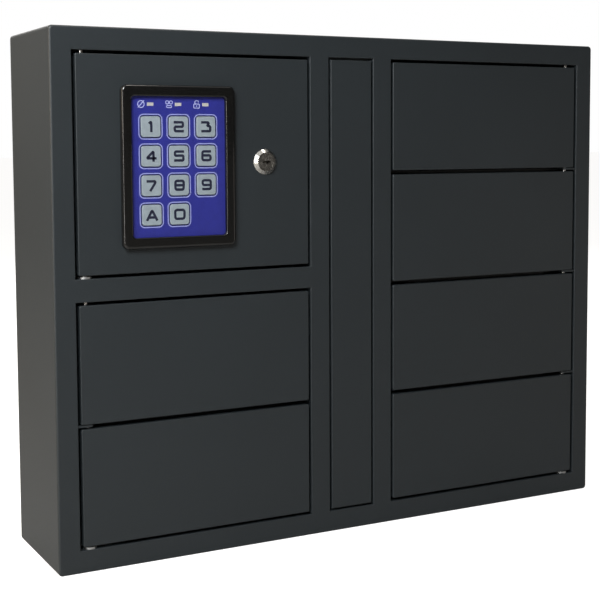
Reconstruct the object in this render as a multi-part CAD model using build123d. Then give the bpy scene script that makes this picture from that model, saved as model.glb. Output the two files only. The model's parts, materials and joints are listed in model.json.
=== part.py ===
from build123d import *
import os

# Phone charging kiosk: a folded steel cabinet with six phone compartments, a control door with
# a keypad and a cam lock, and one solenoid lock behind the centre strip for each compartment.
# Millimetres. +Z is up, the doors face -Y, and the origin is the centre of the base's underside.

# ---------------------------------------------------------------- driving dimensions: cabinet
WIDTH = 494.0
HEIGHT = 400.0
DEPTH = 102.0
SHEET = 1.5               # steel sheet of every folded part
CORNER_RADIUS = 3.0       # the four long corners of the cabinet
FRONT_BEND = 1.8          # outer bend round the front
RIM_BEND = 0.7            # outer bend at the openings and round the doors
BAR = 17.0                # top, bottom, middle and centre bars of the front frame
SIDE_BAR = 16.5           # outer upright bars
CENTRE_OPENING = 41.0     # width of the opening that the centre strip fills
RETURN_DEPTH = 18.0       # folded returns round the door openings, from the front face
REAR_FLANGE = 12.0        # flange under the edge of the back panel
REBATE = 6.0              # ledge that the centre strip sits on
FIT_GAP = 0.4             # clear space between pieces that pass or meet without touching

# ---------------------------------------------------------------- driving dimensions: doors
ROWS = 4                  # compartments in the right column
LEFT_ROWS = 2             # compartments under the control door
END_GAP = 2.4             # between a door and the top or bottom of its opening
STACK_GAP = 3.4           # between two doors of one opening
HINGE_GAP = 2.5           # between a door and the hinge side of its opening
FREE_GAP = 2.0            # between a door and the free side of its opening
PAN_DEPTH = 12.0          # folded flanges of a door, from the front face
STRIKE_EDGE = 3.3         # sheet behind the bolt's hole in a compartment door's free flange
DOOR_CORNER = 1.2

# ---------------------------------------------------------------- driving dimensions: hinges
PIN_RADIUS = 1.5
PIN_FROM_SIDE = 8.7       # pin axis from the hinge side of the opening
PIN_FROM_FRONT = 5.5      # pin axis behind the front face
PIN_REACH = 4.5           # how far a pin enters a door
PIN_TAIL = 1.0            # how far an end pin stands beyond the frame's return
RUNNING_GAP = 0.08        # radial clearance of a pin, bolt, plunger or plug in its hole
WASHER_RADIUS = 5.0
WASHER_THICKNESS = 1.6
BRACKET_WALL = 2.3        # hinge bracket beyond its pin
BRACKET_SETBACK = 0.75    # behind the front face, and in front of the back of the doors
BRACKET_CORNER = 3.0

# ---------------------------------------------------------------- driving dimensions: locks
STRIP_GAP = 1.8           # round the centre strip
STRIP_DEPTH = 5.0
BOLT_RADIUS = 4.0
BOLT_WALL = 1.0           # lock body in front of the bolt
BOLT_RISE = 8.0           # bolt axis above the middle of its door
BOLT_LENGTH = 24.0
BOLT_CHAMFER = 0.8
BOLT_HOLE_GAP = 0.4       # round a bolt where it passes through sheet
STRIKE_GAP = 0.7          # round a bolt in the door's flange
LOCK_APART = 3.0          # between the coils of two locks back to back
LOCK_DEPTH = 24.0
LOCK_HEIGHT = 40.0
LOCK_EDGE = 1.0
COIL_RADIUS = 7.0
COIL_LENGTH = 3.0
NOSE_END = 2.5            # nose of the lock body, beyond the ejector's side
NOSE_CHEEK = 3.0          # nose above and below the ejector
NOSE_DEPTH = 20.0
EJECTOR_DROP = 12.0       # ejector axis below the middle of its door
EJECTOR_RADIUS = 3.0
EJECTOR_INSET = 3.5       # ejector axis from the inner face of the door's free flange
EJECTOR_REST = 1.5        # between the pressed ejector and the end of its bore
EJECTOR_BORE_END = 2.0    # wall behind the ejector's bore
EJECTOR_NOSE = 1.0        # rounding of the ejector's tip

# ---------------------------------------------------------------- driving dimensions: keypad
KEYPAD_SHARE = 0.42       # share of the door's spare width on the hinge side of the keypad
KEYPAD_DROP = 2.0         # keypad centre below the middle of the control door
BEZEL_PROUD = 5.0
BEZEL_CORNER = 4.5
BEZEL_BEND = 2.2
BEZEL_LIP = 1.3           # rounding of the bezel's inner edge
RIM_WIDTH = 7.6           # bezel rim beside the panel
RIM_HEIGHT = 8.4          # bezel rim above and below the panel
SLEEVE_STEP = 4.0         # how much smaller the part behind the door is, all round
SLEEVE_FLOOR = 2.0
SLEEVE_ROOM = 1.0         # behind the keypad board's connector
PANEL_CORNER = 2.5
PANEL_RECESS = 3.5        # panel face below the bezel's front
PANEL_THICKNESS = 2.0
PANEL_SIDE = 7.9          # panel beside the outer keys
PANEL_FOOT = 8.8          # panel below the lowest keys
PANEL_HEAD = 5.6          # panel above the middle of the indicator windows
KEY_SIZE = 15.3
KEY_SPACE_X = 6.8         # between two keys of a row
KEY_SPACE_Z = 6.45        # between two rows of keys
KEY_CORNER = 2.2
KEY_EDGE = 0.4
KEY_GAP = 0.35            # round a key in the panel
KEY_PROUD = 0.9
KEY_FLANGE = 1.2          # how far the retaining flange stands out round the key
KEY_FLANGE_THICKNESS = 1.2
KEY_CLEAR = 0.3           # between the retaining flange and the panel at rest
KEY_TRAVEL = 0.6
LAMP_RISE = 8.9           # middle of the indicator windows above the top keys
LAMP_WIDTH = 5.2
LAMP_HEIGHT = 2.4
BOARD_THICKNESS = 1.6
CHIP_THICKNESS = 1.6
KEYPAD_CHIP = 14.0
KEYPAD_CHIP_RISE = 18.0   # chip above the keypad centre
CONNECTOR_WIDTH = 24.0
CONNECTOR_HEIGHT = 6.0
CONNECTOR_DEPTH = 2.4
CONNECTOR_DROP = 34.0     # connector below the keypad centre
KEYS = {"1": (0, 0), "2": (1, 0), "3": (2, 0),
        "4": (0, 1), "5": (1, 1), "6": (2, 1),
        "7": (0, 2), "8": (1, 2), "9": (2, 2),
        "a": (0, 3), "0": (1, 3)}
KEY_COLUMNS = 3
KEY_ROWS = 4

# ---------------------------------------------------------------- driving dimensions: cam lock
LOCK_SHARE = 0.3604       # share of the door's spare width on the free side of the lock
LOCK_RISE = 0.9           # lock axis above the middle of the control door
PLUG_RADIUS = 6.0
PLUG_RECESS = 0.3
BARREL_WALL = 2.0         # barrel round the plug
FLAT_WALL = 0.75          # barrel beside the plug at its two flats
BARREL_LENGTH = 24.0
COLLAR_OVERLAP = 1.75     # collar on the door, round the barrel
COLLAR_LAND = 1.4         # flat face of the collar round the plug
COLLAR_PROUD = 3.2
COLLAR_RIM = 0.8
KEYWAY_WIDTH = 6.6
KEYWAY_HEIGHT = 1.4
KEYWAY_DEPTH = 12.0
WARD = 1.0                # side groove of the keyway
NUT_WALL = 2.5            # nut round the barrel, at the middle of a flat
NUT_THICKNESS = 5.0
CAM_BITE = 5.0            # how far the turned cam passes the outer face of the channel's wall
CAM_HALF_WIDTH = 8.0
CAM_THICKNESS = 2.5
CAM_SQUARE = 8.0
CAM_SLOT_BELOW = 3.2      # cam's slot in the channel wall, below where the turning cam enters
CAM_SLOT_ABOVE = 1.5      # and above the turned cam
STOP_RISE = 30.0          # door stop above the middle of the control door
STOP_HEIGHT = 20.0

# ---------------------------------------------------------------- driving dimensions: inside
SHELF_GAP = 0.6           # between a closed door and the shelf's lip behind it
SHELF_LIP = 5.0
LIP_INSET = 25.0          # lip's ends from the two sides of the opening
GROMMET_RADIUS = 6.0
GROMMET_BORE = 3.5
GROMMET_FLANGE = 7.5
GROMMET_FLANGE_THICKNESS = 1.5
LEAD_FROM_BACK = 21.0     # grommets in the channel walls, from the back face
MAINS_FROM_SIDE = 27.0    # grommet in the back panel, from the side of the cabinet
MAINS_RISE = 32.0         # above the control shelf
WALL_HOLE_RADIUS = 3.25
WALL_HOLES_X = 380.0      # between the wall holes, across
WALL_HOLES_Z = 300.0      # between the wall holes, upright
SCREW_RADIUS = 2.0
SCREW_HEAD_RADIUS = 3.5
SCREW_LENGTH = 8.0
SCREW_SOCKET = 1.25
SCREW_SOCKET_DEPTH = 1.0
SCREW_FROM_EDGE = 7.0
CONTROL_LEAD_RISE = 12.0  # control lead's grommet above the middle of the control door
BOARD_WIDTH = 96.0
BOARD_HEIGHT = 92.0
BOARD_STANDOFF = 9.0
STANDOFF_RADIUS = 3.0
STANDOFF_INSET = 5.0
BOARD_FROM_CHANNEL = 8.0
BOARD_FROM_TOP = 14.0
BOARD_MARGIN = 10.0       # bare edge beside the relays
RELAY_GAP = 2.0
RELAY_HEIGHT = 18.0
RELAY_DEPTH = 9.0
RELAY_FROM_TOP = 16.0
TERMINAL_MARGIN = 15.0    # bare edge beside the terminals
TERMINAL_HEIGHT = 8.0
TERMINAL_DEPTH = 7.0
TERMINAL_FROM_FOOT = 10.0
PROCESSOR = 16.0
SUPPLY_WIDTH = 88.0
SUPPLY_DEPTH = 38.0
SUPPLY_HEIGHT = 58.0
SUPPLY_FROM_SIDE = 12.0
SUPPLY_FROM_BACK = 12.0
SUPPLY_CHAMFER = 1.0
BAY_WIDTH = 14.0          # open bay for the supply's terminals
BAY_DEPTH = 12.0
BAY_WALL = 4.0            # case above and below the bay
BLOCK_INSET = 4.0         # terminal block from the open side of the bay
BLOCK_SETBACK = 5.0       # terminal block behind the case's front
BLOCK_MARGIN = 7.0
VENTS = 7
VENT_PITCH = 7.0
VENT_WIDTH = 3.0
VENT_DEPTH = 1.2
VENT_MARGIN = 12.0        # case above and below the vents
VENT_START = 14.0         # first vent from the supply's side

# ---------------------------------------------------------------- what follows from them
LEFT = -1
RIGHT = 1
FRONT = -DEPTH / 2
BACK = DEPTH / 2
REAR = BACK - SHEET                            # rear of the shell, where the back panel lies
OUTER_EDGE = WIDTH / 2 - SIDE_BAR              # hinge side of the door openings
INNER_EDGE = CENTRE_OPENING / 2 + BAR          # free side of the door openings
DOOR_HEIGHT = (HEIGHT - 2 * BAR - 2 * END_GAP - (ROWS - 1) * STACK_GAP) / ROWS
LEFT_TOP = BAR + 2 * END_GAP + LEFT_ROWS * DOOR_HEIGHT + (LEFT_ROWS - 1) * STACK_GAP
TOP_EDGE = HEIGHT - BAR
CONTROL_LOW = LEFT_TOP + BAR
CONTROL_DOOR = (CONTROL_LOW + END_GAP, TOP_EDGE - END_GAP)
CONTROL_MIDDLE = sum(CONTROL_DOOR) / 2
HINGE_EDGE = OUTER_EDGE - HINGE_GAP            # door edges
FREE_EDGE = INNER_EDGE + FREE_GAP
PIN_X = OUTER_EDGE - PIN_FROM_SIDE
PIN_Y = FRONT + PIN_FROM_FRONT
CHANNEL_OUT = INNER_EDGE - SHEET               # channel walls lie against the frame's returns
CHANNEL_IN = CHANNEL_OUT - SHEET
CHANNEL_REAR = REAR - SHEET
STRIP_BACK = FRONT + STRIP_DEPTH
LOCK_FRONT = STRIP_BACK + SHEET + FIT_GAP
LOCK_WIDTH = CHANNEL_IN - COIL_LENGTH - LOCK_APART / 2
BOLT_Y = LOCK_FRONT + BOLT_WALL + RUNNING_GAP + BOLT_RADIUS
FLANGE_BACK = BOLT_Y + BOLT_RADIUS + STRIKE_GAP + STRIKE_EDGE
NOSE_FRONT = FLANGE_BACK + FIT_GAP
EJECTOR_X = FREE_EDGE + SHEET + EJECTOR_INSET
EJECTOR_BORE_BACK = NOSE_FRONT + NOSE_DEPTH - EJECTOR_BORE_END
NOSE_TIP = EJECTOR_X + EJECTOR_RADIUS + NOSE_END
SHELF_FRONT = FRONT + PAN_DEPTH + SHELF_GAP
CONTROL_SHELF = (LEFT_TOP + CONTROL_LOW) / 2
KEY_PITCH_X = KEY_SIZE + KEY_SPACE_X
KEY_PITCH_Z = KEY_SIZE + KEY_SPACE_Z
PANEL_WIDTH = KEY_SIZE + (KEY_COLUMNS - 1) * KEY_PITCH_X + 2 * PANEL_SIDE
PANEL_HEIGHT = PANEL_FOOT + KEY_SIZE + (KEY_ROWS - 1) * KEY_PITCH_Z + LAMP_RISE + PANEL_HEAD
BEZEL_WIDTH = PANEL_WIDTH + 2 * RIM_WIDTH
BEZEL_HEIGHT = PANEL_HEIGHT + 2 * RIM_HEIGHT
BARREL_RADIUS = PLUG_RADIUS + BARREL_WALL
COLLAR_RADIUS = BARREL_RADIUS + COLLAR_OVERLAP
SPARE_WIDTH = HINGE_EDGE - FREE_EDGE - BEZEL_WIDTH - 2 * COLLAR_RADIUS
KEYPAD_X = -HINGE_EDGE + KEYPAD_SHARE * SPARE_WIDTH + BEZEL_WIDTH / 2
KEYPAD_Z = CONTROL_MIDDLE - KEYPAD_DROP
PANEL_LOW = KEYPAD_Z - PANEL_HEIGHT / 2
LAMP_Z = PANEL_LOW + PANEL_HEIGHT - PANEL_HEAD
PANEL_FRONT = FRONT - BEZEL_PROUD + PANEL_RECESS
PANEL_BACK = PANEL_FRONT + PANEL_THICKNESS
KEY_FLANGE_FRONT = PANEL_BACK + KEY_CLEAR
BOARD_FRONT = KEY_FLANGE_FRONT + KEY_FLANGE_THICKNESS + KEY_TRAVEL + FIT_GAP
POCKET_BACK = BOARD_FRONT + BOARD_THICKNESS + CONNECTOR_DEPTH + SLEEVE_ROOM
CAM_LOCK_X = -FREE_EDGE - LOCK_SHARE * SPARE_WIDTH - COLLAR_RADIUS
CAM_LOCK_Z = CONTROL_MIDDLE + LOCK_RISE
BARREL_END = FRONT + BARREL_LENGTH
CAM_FRONT = BARREL_END + FIT_GAP
CAM_REACH = -CHANNEL_OUT - CAM_LOCK_X          # from the plug axis to the channel's wall
CAM_LENGTH = CAM_REACH + CAM_BITE              # from the plug axis to the cam's tip
TIP_CENTRE = CAM_LENGTH - CAM_HALF_WIDTH       # from the plug axis to the middle of the round tip
CAM_ENTRY = (TIP_CENTRE ** 2 - (CAM_REACH - CAM_HALF_WIDTH) ** 2) ** 0.5    # height it enters at

# Door openings of the front frame, as x and z pairs.
CONTROL_OPENING = ((-OUTER_EDGE, -INNER_EDGE), (CONTROL_LOW, TOP_EDGE))
LEFT_OPENING = ((-OUTER_EDGE, -INNER_EDGE), (BAR, LEFT_TOP))
RIGHT_OPENING = ((INNER_EDGE, OUTER_EDGE), (BAR, TOP_EDGE))
STRIP_OPENING = ((-CENTRE_OPENING / 2, CENTRE_OPENING / 2), (BAR, TOP_EDGE))


def row_span(row):
    """The lower and upper edge of a door in a row, counted from the bottom."""
    low = BAR + END_GAP + row * (DOOR_HEIGHT + STACK_GAP)
    return (low, low + DOOR_HEIGHT)


# Compartment number: its side and its row from the bottom, numbered down each column.
COMPARTMENTS = {}
for left_row in reversed(range(LEFT_ROWS)):
    COMPARTMENTS[len(COMPARTMENTS) + 1] = (LEFT, left_row)
for right_row in reversed(range(ROWS)):
    COMPARTMENTS[len(COMPARTMENTS) + 1] = (RIGHT, right_row)


# ---------------------------------------------------------------- plain shapes
def block(xs, ys, zs):
    """A box between two opposite corners, given as pairs."""
    pairs = (xs, ys, zs)
    middle = [(a + b) / 2 for a, b in pairs]
    sizes = [abs(b - a) for a, b in pairs]
    return Pos(*middle) * Box(*sizes)


def around(centre, size):
    """The pair that spans a size about a centre."""
    return (centre - size / 2, centre + size / 2)


def grown(pair, step):
    """A pair with both ends moved outwards by a step."""
    return (min(pair) - step, max(pair) + step)


def pad(xs, ys, zs, radius):
    """A block whose four edges along Y are rounded."""
    solid = block(xs, ys, zs)
    return fillet(solid.edges().filter_by(Axis.Y), radius)


def soften_front(solid, radius):
    """Rounds the outline of the foremost face."""
    front = solid.faces().sort_by(Axis.Y)[0]
    return fillet(front.outer_wire().edges(), radius)


def rod_x(radius, xs, y, z):
    """A round bar along X."""
    return Pos(sum(xs) / 2, y, z) * Cylinder(radius, abs(xs[1] - xs[0]), rotation=(0, 90, 0))


def rod_y(radius, x, ys, z):
    """A round bar along Y."""
    return Pos(x, sum(ys) / 2, z) * Cylinder(radius, abs(ys[1] - ys[0]), rotation=(90, 0, 0))


def rod_z(radius, x, y, zs):
    """A round bar along Z."""
    return Pos(x, y, sum(zs) / 2) * Cylinder(radius, abs(zs[1] - zs[0]))


def on_side(side, xs):
    """A pair of x values measured from the middle, on the left or the right."""
    return (side * xs[0], side * xs[1])


# ---------------------------------------------------------------- places that pieces share
def hinge_columns():
    """Each run of doors on one hinge line: side, opening's z pair and its doors' z pairs."""
    left = [row_span(row) for row in range(LEFT_ROWS)]
    right = [row_span(row) for row in range(ROWS)]
    return [(LEFT, CONTROL_OPENING[1], [CONTROL_DOOR]),
            (LEFT, LEFT_OPENING[1], left),
            (RIGHT, RIGHT_OPENING[1], right)]


def pin_spans():
    """The side and z pair of every hinge pin."""
    spans = []
    for side, (low, high), doors in hinge_columns():
        spans.append((side, (low - SHEET - PIN_TAIL, doors[0][0] + PIN_REACH)))
        for lower, upper in zip(doors, doors[1:]):
            spans.append((side, (lower[1] - PIN_REACH, upper[0] + PIN_REACH)))
        spans.append((side, (doors[-1][1] - PIN_REACH, high + SHEET + PIN_TAIL)))
    return spans


def screw_places():
    """The x and z of each back panel screw."""
    across = WIDTH / 2 - SCREW_FROM_EDGE
    low = SCREW_FROM_EDGE
    high = HEIGHT - SCREW_FROM_EDGE
    between = [sum(row_span(row)) / 2 for row in (1, ROWS - 2)]
    places = [(x, z) for x in (-across, across) for z in (low, *between, high)]
    return places + [(x, z) for x in (-across / 2, across / 2) for z in (low, high)]


def screw(x, z):
    """A countersunk screw from the back, without its socket."""
    head_middle = BACK - SHEET / 2
    head = Pos(x, head_middle, z) * Cone(SCREW_HEAD_RADIUS, SCREW_RADIUS, SHEET, rotation=(90, 0, 0))
    return head + rod_y(SCREW_RADIUS, x, (BACK - SCREW_LENGTH, BACK - SHEET), z)


def door_middle(number):
    """The height of the middle of a compartment door."""
    return sum(row_span(COMPARTMENTS[number][1])) / 2


def bolt_place(number):
    """The y and z of a compartment's bolt axis."""
    return BOLT_Y, door_middle(number) + BOLT_RISE


def nose_box(number, gap):
    """The part of a lock body that stands in the compartment, grown by a gap."""
    side = COMPARTMENTS[number][0]
    xs = on_side(side, (CHANNEL_IN, NOSE_TIP))
    ys = grown((NOSE_FRONT, NOSE_FRONT + NOSE_DEPTH), gap)
    height = 2 * (EJECTOR_RADIUS + NOSE_CHEEK)
    zs = grown(around(door_middle(number) - EJECTOR_DROP, height), gap)
    return block(xs, ys, zs)


def lead_places():
    """The side, y and z of each grommet in the channel: one for each compartment's lead, one for control."""
    y = BACK - LEAD_FROM_BACK
    places = [(side, y, door_middle(number)) for number, (side, _) in COMPARTMENTS.items()]
    return places + [(LEFT, y, CONTROL_MIDDLE + CONTROL_LEAD_RISE)]


MAINS_X = -WIDTH / 2 + MAINS_FROM_SIDE
MAINS_Z = CONTROL_SHELF + MAINS_RISE


# ---------------------------------------------------------------- fixed sheet metal
def opening_return(opening, depth):
    """The folded return round an opening, as a tube behind the front sheet."""
    xs, zs = opening
    ys = (FRONT + SHEET, FRONT + depth)
    return block(grown(xs, SHEET), ys, grown(zs, SHEET)) - block(xs, ys, zs)


def cabinet_shell():
    """Sides, top, base and front frame, folded from one sheet, with the rear flange."""
    inside_x = around(0, WIDTH - 2 * SHEET)
    inside_z = (SHEET, HEIGHT - SHEET)
    shell = pad(around(0, WIDTH), (FRONT, REAR), (0, HEIGHT), CORNER_RADIUS)
    shell = soften_front(shell, FRONT_BEND)
    shell -= pad(inside_x, (FRONT + SHEET, REAR), inside_z, CORNER_RADIUS - SHEET)
    flange = block(inside_x, (REAR - SHEET, REAR), inside_z)
    flange -= block(grown(inside_x, -REAR_FLANGE), (REAR - SHEET, REAR), grown(inside_z, -REAR_FLANGE))
    flange -= shell_corners()
    shell += flange
    for opening in (CONTROL_OPENING, LEFT_OPENING, RIGHT_OPENING):
        shell += opening_return(opening, RETURN_DEPTH)
    shell += opening_return(STRIP_OPENING, STRIP_DEPTH + SHEET)
    for xs, zs in (CONTROL_OPENING, LEFT_OPENING, RIGHT_OPENING, STRIP_OPENING):
        shell -= block(xs, (FRONT, FRONT + SHEET), zs)
    xs, zs = STRIP_OPENING
    ledge_y = (STRIP_BACK, STRIP_BACK + SHEET)
    shell += block(xs, ledge_y, zs) - block(grown(xs, -REBATE), ledge_y, grown(zs, -REBATE))
    front = shell.faces().sort_by(Axis.Y)[0]
    rims = [edge for wire in front.inner_wires() for edge in wire.edges()]
    shell = fillet(rims, RIM_BEND)
    for side, span in pin_spans():
        shell -= rod_z(PIN_RADIUS, side * PIN_X, PIN_Y, span)
    for number, (side, _) in COMPARTMENTS.items():
        y, z = bolt_place(number)
        through = on_side(side, (CHANNEL_OUT, INNER_EDGE))
        shell -= rod_x(BOLT_RADIUS + BOLT_HOLE_GAP, through, y, z)
    for x, z in screw_places():
        shell -= rod_y(SCREW_RADIUS, x, (REAR - SHEET, REAR), z)
    return shell


def shell_corners():
    """What lies outside the shell's rounded inner corners, over the rear flange's depth."""
    inside_x = around(0, WIDTH - 2 * SHEET)
    inside_z = (SHEET, HEIGHT - SHEET)
    ys = (REAR - SHEET, REAR)
    return block(inside_x, ys, inside_z) - pad(inside_x, ys, inside_z, CORNER_RADIUS - SHEET)


def back_panel():
    """The plate that closes the rear, with countersinks, wall holes and the cable hole."""
    panel = pad(around(0, WIDTH), (REAR, BACK), (0, HEIGHT), CORNER_RADIUS)
    for x, z in screw_places():
        panel -= screw(x, z)
    for x in around(0, WALL_HOLES_X):
        for z in around(HEIGHT / 2, WALL_HOLES_Z):
            panel -= rod_y(WALL_HOLE_RADIUS, x, (REAR, BACK), z)
    return panel - rod_y(GROMMET_RADIUS, MAINS_X, (REAR, BACK), MAINS_Z)


def back_panel_screws():
    """The countersunk screws of the back panel."""
    screws = []
    for x, z in screw_places():
        socket = Pos(x, BACK, z) * Rot(90, 0, 0) * extrude(
            RegularPolygon(SCREW_SOCKET, 6, major_radius=False), SCREW_SOCKET_DEPTH)
        screws.append(screw(x, z) - socket)
    return screws


def lock_channel():
    """The U behind the centre strip: it closes the compartments and carries the locks."""
    ys = (FRONT + SHEET, CHANNEL_REAR)
    zs = (SHEET, HEIGHT - SHEET)
    channel = block(around(0, 2 * CHANNEL_OUT), ys, zs)
    channel -= block(around(0, 2 * CHANNEL_IN), (ys[0], ys[1] - SHEET), zs)
    for number, (side, _) in COMPARTMENTS.items():
        wall = on_side(side, (CHANNEL_IN, CHANNEL_OUT))
        y, z = bolt_place(number)
        channel -= rod_x(BOLT_RADIUS + BOLT_HOLE_GAP, wall, y, z)
        channel -= nose_box(number, FIT_GAP)
    for side, y, z in lead_places():
        channel -= rod_x(GROMMET_RADIUS, on_side(side, (CHANNEL_IN, CHANNEL_OUT)), y, z)
    wall = (-CHANNEL_OUT, -CHANNEL_IN)
    slot_low = CAM_LOCK_Z - max(CAM_ENTRY, CAM_HALF_WIDTH) - CAM_SLOT_BELOW
    slot_z = (slot_low, CAM_LOCK_Z + CAM_HALF_WIDTH + CAM_SLOT_ABOVE)
    channel -= block(wall, grown((CAM_FRONT, CAM_FRONT + CAM_THICKNESS), FIT_GAP), slot_z)
    stop_front = FRONT + PAN_DEPTH + FIT_GAP
    stop_z = around(CONTROL_MIDDLE + STOP_RISE, STOP_HEIGHT)
    stop_x = (-FREE_EDGE - SHEET, -CHANNEL_OUT)
    stop = block(stop_x, (FRONT + RETURN_DEPTH, FRONT + RETURN_DEPTH + SHEET), stop_z)
    stop += block((stop_x[0], stop_x[0] + SHEET), (stop_front, FRONT + RETURN_DEPTH), stop_z)
    return channel + stop


def shelf(side, height, lipped):
    """A shelf between a side wall and the channel; a lipped one reaches between the returns."""
    zs = around(height, SHEET)
    wall = WIDTH / 2 - SHEET
    plate = block(on_side(side, (CHANNEL_OUT, wall)), (FRONT + RETURN_DEPTH, CHANNEL_REAR), zs)
    if not lipped:
        return plate
    tongue_x = on_side(side, (INNER_EDGE + FIT_GAP, OUTER_EDGE - FIT_GAP))
    plate += block(tongue_x, (SHELF_FRONT, FRONT + RETURN_DEPTH), zs)
    lip_x = on_side(side, (INNER_EDGE + LIP_INSET, OUTER_EDGE - LIP_INSET))
    plate += block(lip_x, (SHELF_FRONT, SHELF_FRONT + SHEET), (zs[0] - SHELF_LIP, zs[0]))
    return plate


def stack_gap_middle(row):
    """The height of the middle of the gap under a row."""
    return row_span(row)[0] - STACK_GAP / 2


def centre_cover():
    """The strip between the two columns of doors, a shallow folded pan."""
    xs, zs = STRIP_OPENING
    cover = block(grown(xs, -STRIP_GAP), (FRONT, STRIP_BACK), grown(zs, -STRIP_GAP))
    cover = soften_front(cover, RIM_BEND)
    hollow = STRIP_GAP + SHEET
    return cover - block(grown(xs, -hollow), (FRONT + SHEET, STRIP_BACK), grown(zs, -hollow))


# ---------------------------------------------------------------- hinges
def hinge_pins():
    """The fixed pins, one at each end of an opening and one in each bracket."""
    return [rod_z(PIN_RADIUS, side * PIN_X, PIN_Y, span) for side, span in pin_spans()]


def hinge_washers():
    """The washer on the lowest pin of each opening."""
    washers = []
    for side, (low, _), _ in hinge_columns():
        zs = (low, low + WASHER_THICKNESS)
        ring = rod_z(WASHER_RADIUS, side * PIN_X, PIN_Y, zs)
        washers.append(ring - rod_z(PIN_RADIUS, side * PIN_X, PIN_Y, zs))
    return washers


def hinge_brackets():
    """The plates between stacked doors that hold the shared pins."""
    brackets = []
    for side, _, doors in hinge_columns():
        for upper in doors[1:]:
            zs = (upper[0] - FIT_GAP - SHEET, upper[0] - FIT_GAP)
            xs = on_side(side, (PIN_X - PIN_RADIUS - BRACKET_WALL, OUTER_EDGE))
            ys = (FRONT + BRACKET_SETBACK, FRONT + PAN_DEPTH - BRACKET_SETBACK)
            plate = block(xs, ys, zs)
            upright = plate.edges().filter_by(Axis.Z).sort_by(Axis.X)
            inner = upright[2:] if side == LEFT else upright[:2]
            plate = fillet(inner, BRACKET_CORNER)
            brackets.append(plate - rod_z(PIN_RADIUS, side * PIN_X, PIN_Y, zs))
    return brackets


# ---------------------------------------------------------------- doors
def door_pan(side, zs):
    """A folded door: face, four flanges and the two pin holes."""
    xs = on_side(side, (FREE_EDGE, HINGE_EDGE))
    pan = pad(xs, (FRONT, FRONT + PAN_DEPTH), zs, DOOR_CORNER)
    pan = soften_front(pan, RIM_BEND)
    inside = (FRONT + SHEET, FRONT + PAN_DEPTH)
    pan -= block(grown(xs, -SHEET), inside, grown(zs, -SHEET))
    return pan - rod_z(PIN_RADIUS + RUNNING_GAP, side * PIN_X, PIN_Y, zs)


def compartment_door(number):
    """A compartment door, whose deeper free flange takes the bolt."""
    side, row = COMPARTMENTS[number]
    zs = row_span(row)
    door = door_pan(side, zs)
    flange_x = on_side(side, (FREE_EDGE, FREE_EDGE + SHEET))
    flange_z = grown(zs, -SHEET)
    door += block(flange_x, (FRONT + PAN_DEPTH, FLANGE_BACK), flange_z)
    y, z = bolt_place(number)
    return door - rod_x(BOLT_RADIUS + STRIKE_GAP, flange_x, y, z)


def barrel(ys):
    """The cam lock's barrel with its two flats."""
    flats = around(CAM_LOCK_Z, 2 * (PLUG_RADIUS + FLAT_WALL))
    sides = around(CAM_LOCK_X, 2 * BARREL_RADIUS)
    return rod_y(BARREL_RADIUS, CAM_LOCK_X, ys, CAM_LOCK_Z) & block(sides, ys, flats)


def keypad_sleeve(ys):
    """The part of the keypad housing that passes through the control door."""
    xs = grown(around(KEYPAD_X, BEZEL_WIDTH), -SLEEVE_STEP)
    zs = grown(around(KEYPAD_Z, BEZEL_HEIGHT), -SLEEVE_STEP)
    return pad(xs, ys, zs, PANEL_CORNER)


def control_door():
    """The door that carries the keypad and the cam lock."""
    door = door_pan(LEFT, CONTROL_DOOR)
    sheet_y = (FRONT, FRONT + SHEET)
    return door - keypad_sleeve(sheet_y) - barrel(sheet_y)


# ---------------------------------------------------------------- keypad
def keypad_pocket(ys):
    """The space inside the bezel that the panel and the board fill."""
    xs = around(KEYPAD_X, PANEL_WIDTH)
    zs = around(KEYPAD_Z, PANEL_HEIGHT)
    return pad(xs, ys, zs, PANEL_CORNER)


def keypad_bezel():
    """The keypad housing: the raised rim and the tub behind the door."""
    front = FRONT - BEZEL_PROUD
    rim = pad(around(KEYPAD_X, BEZEL_WIDTH), (front, FRONT), around(KEYPAD_Z, BEZEL_HEIGHT), BEZEL_CORNER)
    rim = soften_front(rim, BEZEL_BEND)
    housing = rim + keypad_sleeve((FRONT, POCKET_BACK + SLEEVE_FLOOR))
    housing -= keypad_pocket((front, POCKET_BACK))
    face = housing.faces().sort_by(Axis.Y)[0]
    return fillet(face.inner_wires()[0].edges(), BEZEL_LIP)


def column_x(column):
    """The middle of a column of keys."""
    return KEYPAD_X + (column - (KEY_COLUMNS - 1) / 2) * KEY_PITCH_X


def key_centre(name):
    """The x and z of the middle of a key; rows count from the top."""
    column, row = KEYS[name]
    rows_below = KEY_ROWS - 1 - row
    return column_x(column), PANEL_LOW + PANEL_FOOT + KEY_SIZE / 2 + rows_below * KEY_PITCH_Z


def lamp_window(column, ys):
    """An indicator window above a column of keys."""
    return block(around(column_x(column), LAMP_WIDTH), ys, around(LAMP_Z, LAMP_HEIGHT))


def keypad_panel():
    """The plate in front of the keys, with their holes and the indicator windows."""
    ys = (PANEL_FRONT, PANEL_BACK)
    panel = keypad_pocket(ys)
    for name in KEYS:
        x, z = key_centre(name)
        hole = KEY_SIZE + 2 * KEY_GAP
        panel -= pad(around(x, hole), ys, around(z, hole), KEY_CORNER + KEY_GAP)
    for column in range(KEY_COLUMNS):
        panel -= lamp_window(column, ys)
    return panel


def keypad_lamps():
    """The light guide of each indicator."""
    return [lamp_window(column, (PANEL_FRONT, BOARD_FRONT)) for column in range(KEY_COLUMNS)]


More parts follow.
